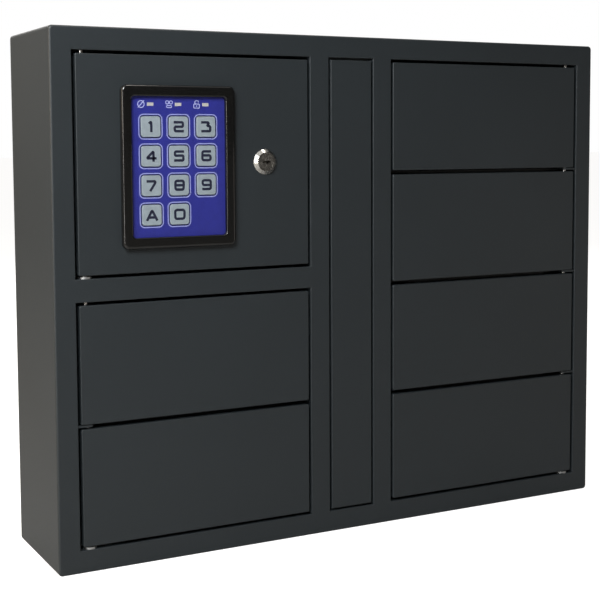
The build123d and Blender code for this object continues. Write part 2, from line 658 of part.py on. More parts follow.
def keypad_board():
    """The circuit board behind the keys, with its controller and connector."""
    back = BOARD_FRONT + BOARD_THICKNESS
    board = keypad_pocket((BOARD_FRONT, back))
    chip_z = around(KEYPAD_Z + KEYPAD_CHIP_RISE, KEYPAD_CHIP)
    board += block(around(KEYPAD_X, KEYPAD_CHIP), (back, back + CHIP_THICKNESS), chip_z)
    connector_z = around(KEYPAD_Z - CONNECTOR_DROP, CONNECTOR_HEIGHT)
    return board + block(around(KEYPAD_X, CONNECTOR_WIDTH), (back, back + CONNECTOR_DEPTH), connector_z)


def key(name):
    """A key cap and the flange that keeps it behind the panel."""
    x, z = key_centre(name)
    ys = (PANEL_FRONT - KEY_PROUD, KEY_FLANGE_FRONT)
    cap = pad(around(x, KEY_SIZE), ys, around(z, KEY_SIZE), KEY_CORNER)
    cap = soften_front(cap, KEY_EDGE)
    flange_size = KEY_SIZE + 2 * KEY_FLANGE
    flange_y = (KEY_FLANGE_FRONT, KEY_FLANGE_FRONT + KEY_FLANGE_THICKNESS)
    return cap + block(around(x, flange_size), flange_y, around(z, flange_size))


# ---------------------------------------------------------------- cam lock
def cam_lock_body():
    """The collar and barrel of the cam lock, bored for the plug."""
    rim_y = (FRONT - COLLAR_RIM, FRONT)
    slope = COLLAR_PROUD - COLLAR_RIM
    slope_middle = FRONT - COLLAR_RIM - slope / 2
    body = rod_y(COLLAR_RADIUS, CAM_LOCK_X, rim_y, CAM_LOCK_Z)
    body += Pos(CAM_LOCK_X, slope_middle, CAM_LOCK_Z) * Cone(
        COLLAR_RADIUS, PLUG_RADIUS + COLLAR_LAND, slope, rotation=(90, 0, 0))
    body += barrel((FRONT, BARREL_END))
    bore = rod_y(PLUG_RADIUS + RUNNING_GAP, CAM_LOCK_X, (FRONT - COLLAR_PROUD, BARREL_END), CAM_LOCK_Z)
    return body - bore


def cam_lock_nut():
    """The nut that holds the cam lock in the door."""
    front = FRONT + SHEET
    blank = Pos(CAM_LOCK_X, front + NUT_THICKNESS, CAM_LOCK_Z) * Rot(90, 0, 0) * extrude(
        RegularPolygon(BARREL_RADIUS + NUT_WALL, 6, major_radius=False), NUT_THICKNESS)
    return blank - rod_y(BARREL_RADIUS, CAM_LOCK_X, (front, front + NUT_THICKNESS), CAM_LOCK_Z)


def lock_plug():
    """The plug with its keyway, and the square that drives the cam."""
    front = FRONT - COLLAR_PROUD + PLUG_RECESS
    plug = rod_y(PLUG_RADIUS, CAM_LOCK_X, (front, CAM_FRONT), CAM_LOCK_Z)
    square_y = (CAM_FRONT, CAM_FRONT + CAM_THICKNESS)
    plug += block(around(CAM_LOCK_X, CAM_SQUARE), square_y, around(CAM_LOCK_Z, CAM_SQUARE))
    slot_y = (front, front + KEYWAY_DEPTH)
    slot = block(around(CAM_LOCK_X, KEYWAY_WIDTH), slot_y, around(CAM_LOCK_Z, KEYWAY_HEIGHT))
    ward_x = around(CAM_LOCK_X + KEYWAY_WIDTH / 8, KEYWAY_WIDTH / 4)
    ward_z = (CAM_LOCK_Z - KEYWAY_HEIGHT / 2 - WARD, CAM_LOCK_Z)
    return plug - slot - block(ward_x, slot_y, ward_z)


def lock_cam():
    """The cam, hanging down at rest; turned, it enters the slot in the channel's wall."""
    ys = (CAM_FRONT, CAM_FRONT + CAM_THICKNESS)
    tip = CAM_LOCK_Z - TIP_CENTRE
    cam = rod_y(CAM_HALF_WIDTH, CAM_LOCK_X, ys, CAM_LOCK_Z)
    cam += rod_y(CAM_HALF_WIDTH, CAM_LOCK_X, ys, tip)
    cam += block(around(CAM_LOCK_X, 2 * CAM_HALF_WIDTH), ys, (tip, CAM_LOCK_Z))
    return cam - block(around(CAM_LOCK_X, CAM_SQUARE), ys, around(CAM_LOCK_Z, CAM_SQUARE))


# ---------------------------------------------------------------- compartment locks
def lock_body(number):
    """A solenoid lock with the nose that guides the ejector."""
    side = COMPARTMENTS[number][0]
    xs = on_side(side, (CHANNEL_IN - LOCK_WIDTH, CHANNEL_IN))
    body = block(xs, (LOCK_FRONT, LOCK_FRONT + LOCK_DEPTH), around(door_middle(number), LOCK_HEIGHT))
    body = chamfer(body.edges().filter_by(Axis.X), LOCK_EDGE)
    y, z = bolt_place(number)
    inner = CHANNEL_IN - LOCK_WIDTH
    coil_y = LOCK_FRONT + LOCK_DEPTH / 2
    body += rod_x(COIL_RADIUS, on_side(side, (inner - COIL_LENGTH, inner)), coil_y, z)
    body += nose_box(number, 0)
    pocket = on_side(side, (INNER_EDGE - BOLT_LENGTH - FIT_GAP, CHANNEL_IN))
    body -= rod_x(BOLT_RADIUS + RUNNING_GAP, pocket, y, z)
    bore_z = door_middle(number) - EJECTOR_DROP
    bore_y = (NOSE_FRONT, EJECTOR_BORE_BACK)
    return body - rod_y(EJECTOR_RADIUS + RUNNING_GAP, side * EJECTOR_X, bore_y, bore_z)


def lock_bolt(number):
    """A bolt, drawn back so that its tip is level with the side of the opening."""
    side = COMPARTMENTS[number][0]
    y, z = bolt_place(number)
    bolt = rod_x(BOLT_RADIUS, on_side(side, (INNER_EDGE - BOLT_LENGTH, INNER_EDGE)), y, z)
    ends = bolt.edges().filter_by(GeomType.CIRCLE).sort_by(Axis.X)
    tip = ends[0] if side == LEFT else ends[-1]
    return chamfer(tip, BOLT_CHAMFER)


def door_ejector(number):
    """The plunger that pushes a door out, pressed back by the closed door."""
    side = COMPARTMENTS[number][0]
    ys = (FRONT + SHEET + FIT_GAP, EJECTOR_BORE_BACK - EJECTOR_REST)
    z = door_middle(number) - EJECTOR_DROP
    plunger = rod_y(EJECTOR_RADIUS, side * EJECTOR_X, ys, z)
    tip = plunger.edges().filter_by(GeomType.CIRCLE).sort_by(Axis.Y)[0]
    return fillet(tip, EJECTOR_NOSE)


# ---------------------------------------------------------------- electrics
def grommet(rod, place, neck, flange):
    """A rubber bushing; rod draws a bar at the place, and neck and flange are its spans along the axis."""
    ends = neck + flange
    outside = rod(GROMMET_RADIUS, neck, *place) + rod(GROMMET_FLANGE, flange, *place)
    return outside - rod(GROMMET_BORE, (min(ends), max(ends)), *place)


def rod_y_at(radius, ys, x, z):
    """A round bar along Y, with its span named first."""
    return rod_y(radius, x, ys, z)


def cable_grommets():
    """One bushing for each lead that leaves the channel, and one in the back panel for the mains lead."""
    bushings = []
    for side, y, z in lead_places():
        neck = on_side(side, (CHANNEL_IN, CHANNEL_OUT))
        flange = on_side(side, (CHANNEL_OUT, CHANNEL_OUT + GROMMET_FLANGE_THICKNESS))
        bushings.append(grommet(rod_x, (y, z), neck, flange))
    flange = (REAR - GROMMET_FLANGE_THICKNESS, REAR)
    bushings.append(grommet(rod_y_at, (MAINS_X, MAINS_Z), (REAR, BACK), flange))
    return bushings


def controller_board():
    """The main circuit board on standoffs, with relays, terminals and a processor."""
    right = -CHANNEL_OUT - BOARD_FROM_CHANNEL
    top = HEIGHT - SHEET - BOARD_FROM_TOP
    xs = (right - BOARD_WIDTH, right)
    zs = (top - BOARD_HEIGHT, top)
    back = REAR - BOARD_STANDOFF
    front = back - BOARD_THICKNESS
    board = block(xs, (front, back), zs)
    for x in grown(xs, -STANDOFF_INSET):
        for z in grown(zs, -STANDOFF_INSET):
            board += rod_y(STANDOFF_RADIUS, x, (back, REAR), z)
    pitch = (BOARD_WIDTH - 2 * BOARD_MARGIN) / len(COMPARTMENTS)
    relay_z = (top - RELAY_FROM_TOP - RELAY_HEIGHT, top - RELAY_FROM_TOP)
    for index in range(len(COMPARTMENTS)):
        x = xs[0] + BOARD_MARGIN + (index + 0.5) * pitch
        board += block(around(x, pitch - RELAY_GAP), (front - RELAY_DEPTH, front), relay_z)
    terminal_z = (zs[0] + TERMINAL_FROM_FOOT, zs[0] + TERMINAL_FROM_FOOT + TERMINAL_HEIGHT)
    board += block(grown(xs, -TERMINAL_MARGIN), (front - TERMINAL_DEPTH, front), terminal_z)
    processor_z = around((terminal_z[1] + relay_z[0]) / 2, PROCESSOR)
    return board + block(around(sum(xs) / 2, PROCESSOR), (front - CHIP_THICKNESS, front), processor_z)


def power_supply():
    """The mains power supply in its vented case, standing on the control shelf."""
    left = -WIDTH / 2 + SUPPLY_FROM_SIDE
    right = left + SUPPLY_WIDTH
    front = BACK - SUPPLY_FROM_BACK - SUPPLY_DEPTH
    low = CONTROL_SHELF + SHEET / 2
    zs = (low, low + SUPPLY_HEIGHT)
    case = block((left, right), (front, front + SUPPLY_DEPTH), zs)
    case = chamfer(case.edges().filter_by(Axis.Z), SUPPLY_CHAMFER)
    bay = right - BAY_WIDTH
    case -= block((bay, right), (front, front + BAY_DEPTH), grown(zs, -BAY_WALL))
    terminals = block((bay, right - BLOCK_INSET), (front + BLOCK_SETBACK, front + BAY_DEPTH),
                      grown(zs, -BLOCK_MARGIN))
    case += terminals
    for step in range(VENTS):
        vent_x = around(left + VENT_START + step * VENT_PITCH, VENT_WIDTH)
        case -= block(vent_x, (front, front + VENT_DEPTH), grown(zs, -VENT_MARGIN))
    return case


# ---------------------------------------------------------------- all the nodes
def build_nodes():
    """Every node by name; a list is a group of separate identical pieces."""
    nodes = {
        "cabinet_shell": cabinet_shell(),
        "back_panel": back_panel(),
        "back_panel_screws": back_panel_screws(),
        "lock_channel": lock_channel(),
        "left_shelf_1": shelf(LEFT, CONTROL_SHELF, lipped=False),
        "centre_cover": centre_cover(),
        "hinge_pins": hinge_pins(),
        "hinge_washers": hinge_washers(),
        "hinge_brackets": hinge_brackets(),
        "cable_grommets": cable_grommets(),
        "controller_board": controller_board(),
        "power_supply": power_supply(),
        "control_door": control_door(),
        "keypad_bezel": keypad_bezel(),
        "keypad_panel": keypad_panel(),
        "keypad_lamps": keypad_lamps(),
        "keypad_board": keypad_board(),
        "cam_lock_body": cam_lock_body(),
        "cam_lock_nut": cam_lock_nut(),
        "lock_plug": lock_plug(),
        "lock_cam": lock_cam(),
    }
    for index, row in enumerate(reversed(range(1, LEFT_ROWS))):
        nodes[f"left_shelf_{index + 2}"] = shelf(LEFT, stack_gap_middle(row), lipped=True)
    for index, row in enumerate(reversed(range(1, ROWS))):
        nodes[f"right_shelf_{index + 1}"] = shelf(RIGHT, stack_gap_middle(row), lipped=True)
    for name in KEYS:
        nodes[f"key_{name}"] = key(name)
    for number in COMPARTMENTS:
        nodes[f"compartment_door_{number}"] = compartment_door(number)
        nodes[f"lock_body_{number}"] = lock_body(number)
        nodes[f"lock_bolt_{number}"] = lock_bolt(number)
        nodes[f"door_ejector_{number}"] = door_ejector(number)
    return nodes


os.makedirs("parts", exist_ok=True)
for node_name, shape in build_nodes().items():
    if isinstance(shape, list):
        shape = Compound(children=shape)
    export_step(shape, f"parts/{node_name}.step")
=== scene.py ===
"""The looks of the phone charging kiosk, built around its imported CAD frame. Metres, +Z up, doors face -Y."""
import json
import math

import bmesh
import bpy
from mathutils import Matrix, Vector


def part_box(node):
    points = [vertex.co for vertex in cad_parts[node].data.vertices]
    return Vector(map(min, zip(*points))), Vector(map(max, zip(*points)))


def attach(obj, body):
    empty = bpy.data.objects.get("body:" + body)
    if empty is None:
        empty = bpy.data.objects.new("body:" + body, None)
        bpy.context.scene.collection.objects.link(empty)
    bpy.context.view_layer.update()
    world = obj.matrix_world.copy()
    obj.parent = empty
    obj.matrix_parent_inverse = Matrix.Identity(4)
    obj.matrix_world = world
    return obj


MM = 0.001
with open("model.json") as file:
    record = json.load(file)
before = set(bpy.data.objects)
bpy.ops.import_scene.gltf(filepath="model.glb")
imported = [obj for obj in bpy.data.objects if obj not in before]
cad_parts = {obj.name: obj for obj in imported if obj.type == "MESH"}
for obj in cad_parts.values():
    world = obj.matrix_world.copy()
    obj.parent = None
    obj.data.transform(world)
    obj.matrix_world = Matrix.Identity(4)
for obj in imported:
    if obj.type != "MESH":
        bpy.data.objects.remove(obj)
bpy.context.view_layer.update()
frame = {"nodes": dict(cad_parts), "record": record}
NODES = frame["nodes"]


# ---------------------------------------------------------------- shader graphs
class Shader:
    """A principled material and short calls for the nodes that vary it over the surface."""

    def __init__(self, name, roughness=0.5, metallic=0.0, color=(0.5, 0.5, 0.5), **sockets):
        self.material = bpy.data.materials.new(name)
        self.material.use_nodes = True
        self.tree = self.material.node_tree
        self.bsdf = self.tree.nodes["Principled BSDF"]
        self.bsdf.inputs["Base Color"].default_value = (*color, 1)
        self.bsdf.inputs["Roughness"].default_value = roughness
        self.bsdf.inputs["Metallic"].default_value = metallic
        for socket, value in sockets.items():
            self.bsdf.inputs[socket.replace("_", " ")].default_value = value
        self.place = self.add("ShaderNodeTexCoord").outputs["Object"]
        self.normal = None

    def add(self, kind, **settings):
        """A new node with its settings."""
        node = self.tree.nodes.new(kind)
        for key, value in settings.items():
            setattr(node, key, value)
        return node

    def feed(self, socket, value):
        """Links a node's output to a socket, or sets the socket to a number or a vector."""
        if isinstance(value, bpy.types.NodeSocket):
            self.tree.links.new(value, socket)
        else:
            socket.default_value = value

    def stretched(self, stretch):
        """The place on the surface, scaled per axis; a small number draws a pattern out along its axis."""
        node = self.add("ShaderNodeVectorMath", operation="MULTIPLY")
        self.feed(node.inputs[0], self.place)
        node.inputs[1].default_value = stretch
        return node.outputs[0]

    def noise(self, size, detail=2.0, rough=0.5, stretch=(1, 1, 1)):
        """Noise whose largest features are about size metres across."""
        node = self.add("ShaderNodeTexNoise")
        self.feed(node.inputs["Vector"], self.stretched(stretch))
        node.inputs["Scale"].default_value = 1 / size
        node.inputs["Detail"].default_value = detail
        node.inputs["Roughness"].default_value = rough
        return node.outputs["Fac"]

    def cells(self, size):
        """A node for cells about size metres across, with a colour for each and the distance to its point."""
        node = self.add("ShaderNodeTexVoronoi")
        self.feed(node.inputs["Vector"], self.place)
        node.inputs["Scale"].default_value = 1 / size
        return node

    def span(self, value, low, high, start=0.0, end=1.0):
        """Maps value from start..end to low..high."""
        node = self.add("ShaderNodeMapRange")
        for socket, number in zip(("Value", "From Min", "From Max", "To Min", "To Max"),
                                  (value, start, end, low, high)):
            self.feed(node.inputs[socket], number)
        return node.outputs["Result"]

    def math(self, operation, first, second=0.0):
        node = self.add("ShaderNodeMath", operation=operation)
        self.feed(node.inputs[0], first)
        self.feed(node.inputs[1], second)
        return node.outputs[0]

    def blend(self, share, first, second):
        """A colour between two, by a share from 0 to 1."""
        node = self.add("ShaderNodeMix", data_type="RGBA")
        self.feed(node.inputs["Factor"], share)
        for socket, color in ((node.inputs[6], first), (node.inputs[7], second)):
            self.feed(socket, color if isinstance(color, bpy.types.NodeSocket) else (*color, 1))
        return node.outputs[2]

    def inside(self, low, high):
        """1 within a box given in the part's own frame, 0 outside it."""
        apart = self.add("ShaderNodeSeparateXYZ")
        self.feed(apart.inputs[0], self.place)
        share = 1.0
        for axis, bounds in zip("XYZ", zip(low, high)):
            for operation, bound in zip(("GREATER_THAN", "LESS_THAN"), bounds):
                share = self.math("MULTIPLY", share, self.math(operation, apart.outputs[axis], bound))
        return share

    def tell_apart(self, base, regions):
        """The base colour, with the parts of the surface in each box given their own one."""
        for (low, high), region_color in regions:
            base = self.blend(self.inside(low, high), base, region_color)
        self.color(base)

    def color(self, value):
        self.feed(self.bsdf.inputs["Base Color"], value)

    def rough(self, value):
        self.feed(self.bsdf.inputs["Roughness"], value)

    def bump(self, height, depth):
        """Adds relief; depth is in metres."""
        node = self.add("ShaderNodeBump")
        node.inputs["Strength"].default_value = 1.0
        node.inputs["Distance"].default_value = depth
        self.feed(node.inputs["Height"], height)
        if self.normal is not None:
            self.feed(node.inputs["Normal"], self.normal)
        self.normal = node.outputs["Normal"]
        self.feed(self.bsdf.inputs["Normal"], self.normal)


def shade(color, factor):
    """A darker or lighter tone of a colour."""
    return tuple(channel * factor for channel in color)


def powder_coat(name, color, roughness):
    """Fine textured powder coat: pinhead grain, a slow drift in tone and an orange-peel surface."""
    shader = Shader(name, roughness, color=color, IOR=1.45)
    grain = shader.noise(0.55 * MM, 2, 0.6)
    drift = shader.noise(70 * MM, 3, 0.5)
    toned = shader.blend(shader.span(drift, 0, 1, 0.3, 0.7), shade(color, 0.93), shade(color, 1.07))
    speck = shader.blend(shader.span(grain, 0, 1, 0.35, 0.68), shade(color, 0.84), shade(color, 1.2))
    shader.color(shader.blend(0.5, toned, speck))
    shader.rough(shader.span(grain, roughness - 0.05, roughness + 0.08, 0.3, 0.7))
    shader.bump(shader.noise(2.2 * MM, 2, 0.5), 0.05 * MM)
    shader.bump(grain, 0.022 * MM)
    return shader.material


def zinc_plate(name):
    """Zinc coated steel: a dull spangle and faint rolling lines."""
    color = (0.42, 0.43, 0.43)
    shader = Shader(name, 0.42, 1.0, color)
    spangle = shader.cells(3.5 * MM).outputs["Color"]
    tone = shader.add("ShaderNodeSeparateColor")
    shader.feed(tone.inputs[0], spangle)
    lines = shader.noise(0.35 * MM, 2, 0.5, (1, 1, 0.05))
    shader.color(shader.blend(tone.outputs[0], shade(color, 0.86), shade(color, 1.14)))
    shader.rough(shader.span(lines, 0.34, 0.52, 0.3, 0.7))
    shader.bump(lines, 0.006 * MM)
    return shader.material


def ground_steel(name, along):
    """Bright ground steel, with fine lines along the axis whose stretch in along is small."""
    color = (0.60, 0.59, 0.57)
    shader = Shader(name, 0.28, 1.0, color)
    lines = shader.noise(0.18 * MM, 2, 0.55, along)
    shader.color(shader.blend(shader.noise(4 * MM), shade(color, 0.9), shade(color, 1.08)))
    shader.rough(shader.span(lines, 0.2, 0.38, 0.3, 0.7))
    shader.bump(lines, 0.004 * MM)
    return shader.material


def nickel(name, centre_x, centre_z):
    """Nickel plate with turning rings round the lock's axis and a little haze."""
    color = (0.49, 0.48, 0.455)
    shader = Shader(name, 0.22, 1.0, color)
    apart = shader.add("ShaderNodeSeparateXYZ")
    shader.feed(apart.inputs[0], shader.place)
    across = shader.math("SUBTRACT", apart.outputs["X"], centre_x)
    up = shader.math("SUBTRACT", apart.outputs["Z"], centre_z)
    square = shader.math("ADD", shader.math("MULTIPLY", across, across), shader.math("MULTIPLY", up, up))
    radius = shader.math("SQRT", square)
    ring_pitch = 0.28 * MM
    rings = shader.math("SINE", shader.math("MULTIPLY", radius, 2 * math.pi / ring_pitch))
    haze = shader.noise(2.5 * MM, 3, 0.6)
    shader.color(shader.blend(shader.span(haze, 0, 1, 0.3, 0.7), shade(color, 0.88), shade(color, 1.1)))
    shader.rough(shader.span(haze, 0.16, 0.32, 0.3, 0.7))
    shader.bump(shader.span(rings, 0, 1, -1, 1), 0.0035 * MM)
    return shader.material


def gloss_black(name):
    """Moulded glossy black, with a long soft waviness and faint dust that dulls it."""
    color = (0.0045, 0.0044, 0.0043)
    shader = Shader(name, 0.08, color=color, IOR=1.5)
    dust = shader.noise(1.2 * MM, 4, 0.7)
    shader.color(shader.blend(shader.span(dust, 0, 1, 0.45, 0.75), color, (0.0085, 0.0083, 0.008)))
    shader.rough(shader.span(dust, 0.05, 0.14, 0.35, 0.75))
    shader.bump(shader.noise(9 * MM, 2, 0.5), 0.06 * MM)
    return shader.material


def printed_film(name, color, roughness):
    """Screen printed polyester film: slight mottling and a fine matting grain."""
    shader = Shader(name, roughness, color=color, IOR=1.5)
    mottle = shader.noise(5 * MM, 3, 0.6)
    fine = shader.noise(0.25 * MM, 2, 0.5)
    shader.color(shader.blend(shader.span(mottle, 0, 1, 0.3, 0.7), shade(color, 0.92), shade(color, 1.08)))
    shader.rough(shader.span(fine, roughness - 0.05, roughness + 0.08, 0.3, 0.7))
    shader.bump(fine, 0.008 * MM)
    return shader.material


def moulded(name, color, roughness):
    """Moulded plastic with a spark-eroded grain."""
    shader = Shader(name, roughness, color=color, IOR=1.47)
    grain = shader.cells(0.7 * MM).outputs["Distance"]
    wide = shader.noise(18 * MM, 2, 0.5)
    shader.color(shader.blend(shader.span(wide, 0, 1, 0.3, 0.7), shade(color, 0.88), shade(color, 1.12)))
    shader.rough(shader.span(grain, roughness - 0.06, roughness + 0.08, 0, 0.6))
    shader.bump(grain, 0.02 * MM)
    return shader.material


def circuit_board(name, regions):
    """Green solder mask: the laminate's weave, copper areas slightly lighter, and parts on it by region."""
    color = (0.008, 0.085, 0.035)
    shader = Shader(name, 0.3, color=color, IOR=1.5)
    copper = shader.cells(6 * MM).outputs["Distance"]
    threads = shader.noise(0.8 * MM, 0, 0.5, (1, 1, 0.1))
    weave = shader.math("SINE", shader.math("MULTIPLY", threads, 9))
    shader.tell_apart(shader.blend(shader.span(copper, 0, 1, 0.35, 0.42), shade(color, 1.25), color), regions)
    shader.rough(shader.span(weave, 0.26, 0.36, -1, 1))
    shader.bump(shader.span(copper, 1, 0, 0.35, 0.42), 0.03 * MM)
    shader.bump(weave, 0.004 * MM)
    return shader.material


def satin_aluminium(name, regions):
    """Bare folded aluminium with its rolling lines, and what is let into it by region."""
    color = (0.55, 0.56, 0.57)
    shader = Shader(name, 0.38, 1.0, color)
    lines = shader.noise(0.3 * MM, 3, 0.6, (0.04, 1, 1))
    shader.tell_apart(shader.blend(shader.noise(25 * MM), shade(color, 0.88), shade(color, 1.08)), regions)
    for (low, high), _ in regions:
        shader.feed(shader.bsdf.inputs["Metallic"], shader.math("SUBTRACT", 1.0, shader.inside(low, high)))
    shader.rough(shader.span(lines, 0.3, 0.5, 0.3, 0.7))
    shader.bump(lines, 0.005 * MM)
    return shader.material


def lamp_lens(name):
    """A milky light guide."""
    color = (0.40, 0.385, 0.36)
    shader = Shader(name, 0.25, color=color, IOR=1.49)
    cloud = shader.noise(1.5 * MM, 2, 0.5)
    shader.color(shader.blend(cloud, shade(color, 0.92), shade(color, 1.06)))
    shader.rough(shader.span(cloud, 0.2, 0.32, 0.3, 0.7))
    shader.bump(cloud, 0.01 * MM)
    return shader.material


def rubber(name):
    """Black rubber with a pale bloom in patches."""
    color = (0.014, 0.014, 0.014)
    shader = Shader(name, 0.72, color=color, IOR=1.45)
    bloom = shader.noise(1.6 * MM, 4, 0.65)
    shader.color(shader.blend(shader.span(bloom, 0, 1, 0.35, 0.7), color, (0.03, 0.03, 0.029)))
    shader.rough(shader.span(bloom, 0.62, 0.82, 0.3, 0.7))
    shader.bump(bloom, 0.03 * MM)
    return shader.material


def paint_node(node, material):
    """Gives a CAD node one material in every slot."""
    mesh = NODES[node].data
    mesh.materials.clear()
    mesh.materials.append(material)


# Sizes of the boards and the supply that tell their parts apart, in metres.
EDGE = 0.05 * MM            # keeps a region's bound off the face it follows
BOARD_THICKNESS = 1.6 * MM
RELAY_DEPTH = 9 * MM
TERMINAL_ZONE = 19 * MM     # foot of the controller board, up to the top of its terminals
BAY_WIDTH = 14 * MM         # open bay for the supply's terminals
BAY_DEPTH = 12 * MM
BAY_WALL = 4 * MM           # case above and below the bay
CHIP_BLACK = (0.012, 0.012, 0.013)
TERMINAL_GREY = (0.32, 0.33, 0.31)
BRASS = (0.45, 0.36, 0.16)


def node_box(node):
    """A node's box, a millimetre larger all round, so that its own faces lie inside."""
    low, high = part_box(node)
    room = Vector((MM, MM, MM))
    return low - room, high + room


def controller_regions():
    """Relays and processor, terminals, and standoffs behind the board."""
    low, high = node_box("controller_board")
    front = low.y + MM + RELAY_DEPTH
    back = front + BOARD_THICKNESS
    foot = low.z + MM + TERMINAL_ZONE
    return [((low, Vector((high.x, front - EDGE, high.z))), CHIP_BLACK),
            ((low, Vector((high.x, front - EDGE, foot))), TERMINAL_GREY),
            ((Vector((low.x, back + EDGE, low.z)), high), BRASS)]


def keypad_board_regions():
    """The chip and the connector behind the board."""
    low, high = node_box("keypad_board")
    back = low.y + MM + BOARD_THICKNESS + EDGE
    middle = (low.z + high.z) / 2
    return [((Vector((low.x, back, middle)), high), CHIP_BLACK),
            ((Vector((low.x, back, low.z)), Vector((high.x, high.y, middle))), TERMINAL_GREY)]


def supply_regions():
    """The terminal block in its open bay."""
    low, high = node_box("power_supply")
    first = Vector((high.x - MM - BAY_WIDTH + EDGE, low.y, low.z + MM + BAY_WALL + EDGE))
    last = Vector((high.x, low.y + MM + BAY_DEPTH - EDGE, high.z - MM - BAY_WALL - EDGE))
    return [((first, last), CHIP_BLACK)]


def paint_cad_nodes():
    """Gives every CAD node the finish of its material slot."""
    lock_low, lock_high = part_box("lock_plug")
    lock_x = (lock_low.x + lock_high.x) / 2
    lock_z = (lock_low.z + lock_high.z) / 2
    finishes = {
        "painted_steel": powder_coat("powder_coat", (0.0150, 0.0190, 0.0218), 0.45),
        "galvanised_steel": zinc_plate("zinc_plate"),
        "pin_steel": ground_steel("pin_steel", (1, 1, 0.05)),
        "bolt_steel": ground_steel("bolt_steel", (0.05, 1, 1)),
        "lock_chrome": nickel("nickel", lock_x, lock_z),
        "bezel_black": gloss_black("bezel_black"),
        "panel_blue": printed_film("panel_blue", (0.020, 0.023, 0.185), 0.3),
        "key_silver": printed_film("key_silver", (0.225, 0.262, 0.288), 0.36),
        "lamp_white": lamp_lens("lamp_white"),
        "circuit_board": circuit_board("controller_board", controller_regions()),
        "supply_case": satin_aluminium("supply_case", supply_regions()),
        "lock_housing": moulded("lock_housing", (0.02, 0.02, 0.021), 0.5),
        "grommet_rubber": rubber("grommet_rubber"),
    }
    for row in frame["record"]["subparts"]:
        paint_node(row["node"], finishes[row["material_slot"]])
    paint_node("keypad_board", circuit_board("keypad_board", keypad_board_regions()))


# ---------------------------------------------------------------- thin printed shapes
def rounded(points, radius, closed=False, steps=6):
    """A polyline whose corners are arcs of a radius; an open one keeps its two ends."""
    count = len(points)
    line = []
    for index, point in enumerate(points):
        here = Vector(point)
        if not closed and index in (0, count - 1):
            line.append(here)
            continue
        back = Vector(points[index - 1]) - here
        ahead = Vector(points[(index + 1) % count]) - here
        half = back.angle(ahead) / 2
        reach = min(radius / math.tan(half), 0.49 * back.length, 0.49 * ahead.length)
        bend = reach * math.tan(half)
        middle = here + (back.normalized() + ahead.normalized()).normalized() * bend / math.sin(half)
        first = here + back.normalized() * reach - middle
        turn = first.angle_signed(here + ahead.normalized() * reach - middle)
        for step in range(steps + 1):
            spoke = first.copy()
            spoke.rotate(Matrix.Rotation(-turn * step / steps, 2))
            line.append(middle + spoke)
    return line


def sides_of(line, width, closed):
    """The left and right edges of a ribbon of a width along a line, mitred at each point."""
    count = len(line)
    edges = []
    for index, point in enumerate(line):
        before = line[index - 1] if closed or index else None
        after = line[(index + 1) % count] if closed or index < count - 1 else None
        ways = [(point - before).normalized()] if before is not None else []
        ways += [(after - point).normalized()] if after is not None else []
        normals = [Vector((-way.y, way.x)) for way in ways]
        mitre = sum(normals, Vector((0, 0))).normalized()
        reach = width / 2 / max(mitre.dot(normals[0]), 0.35)
        edges.append((point + mitre * reach, point - mitre * reach))
    return edges


def ribbon(mesh, line, width, closed, centre, face, proud, sunk):
    """Adds a closed strip along a line in the XZ plane, standing proud of a face that looks to -Y."""
    rings = []
    for left, right in sides_of(line, width, closed):
        corners = [(left, face - proud), (right, face - proud), (right, face + sunk), (left, face + sunk)]
        rings.append([mesh.verts.new((centre[0] + p.x, y, centre[1] + p.y)) for p, y in corners])
    pairs = list(zip(rings, rings[1:]))
    if closed:
        pairs.append((rings[-1], rings[0]))
    for near, far in pairs:
        for side in range(4):
            nxt = (side + 1) % 4
            mesh.faces.new((near[side], near[nxt], far[nxt], far[side]))
    if not closed:
        mesh.faces.new(rings[0][::-1])
        mesh.faces.new(rings[-1])


def finished(mesh, name, material, body):
    """Turns a bmesh into a piece that rides on a body."""
    bmesh.ops.recalc_face_normals(mesh, faces=mesh.faces)
    data = bpy.data.meshes.new(name)
    mesh.to_mesh(data)
    mesh.free()
    data.materials.append(material)
    piece = bpy.data.objects.new(name, data)
    bpy.context.scene.collection.objects.link(piece)
    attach(piece, body)
    return piece


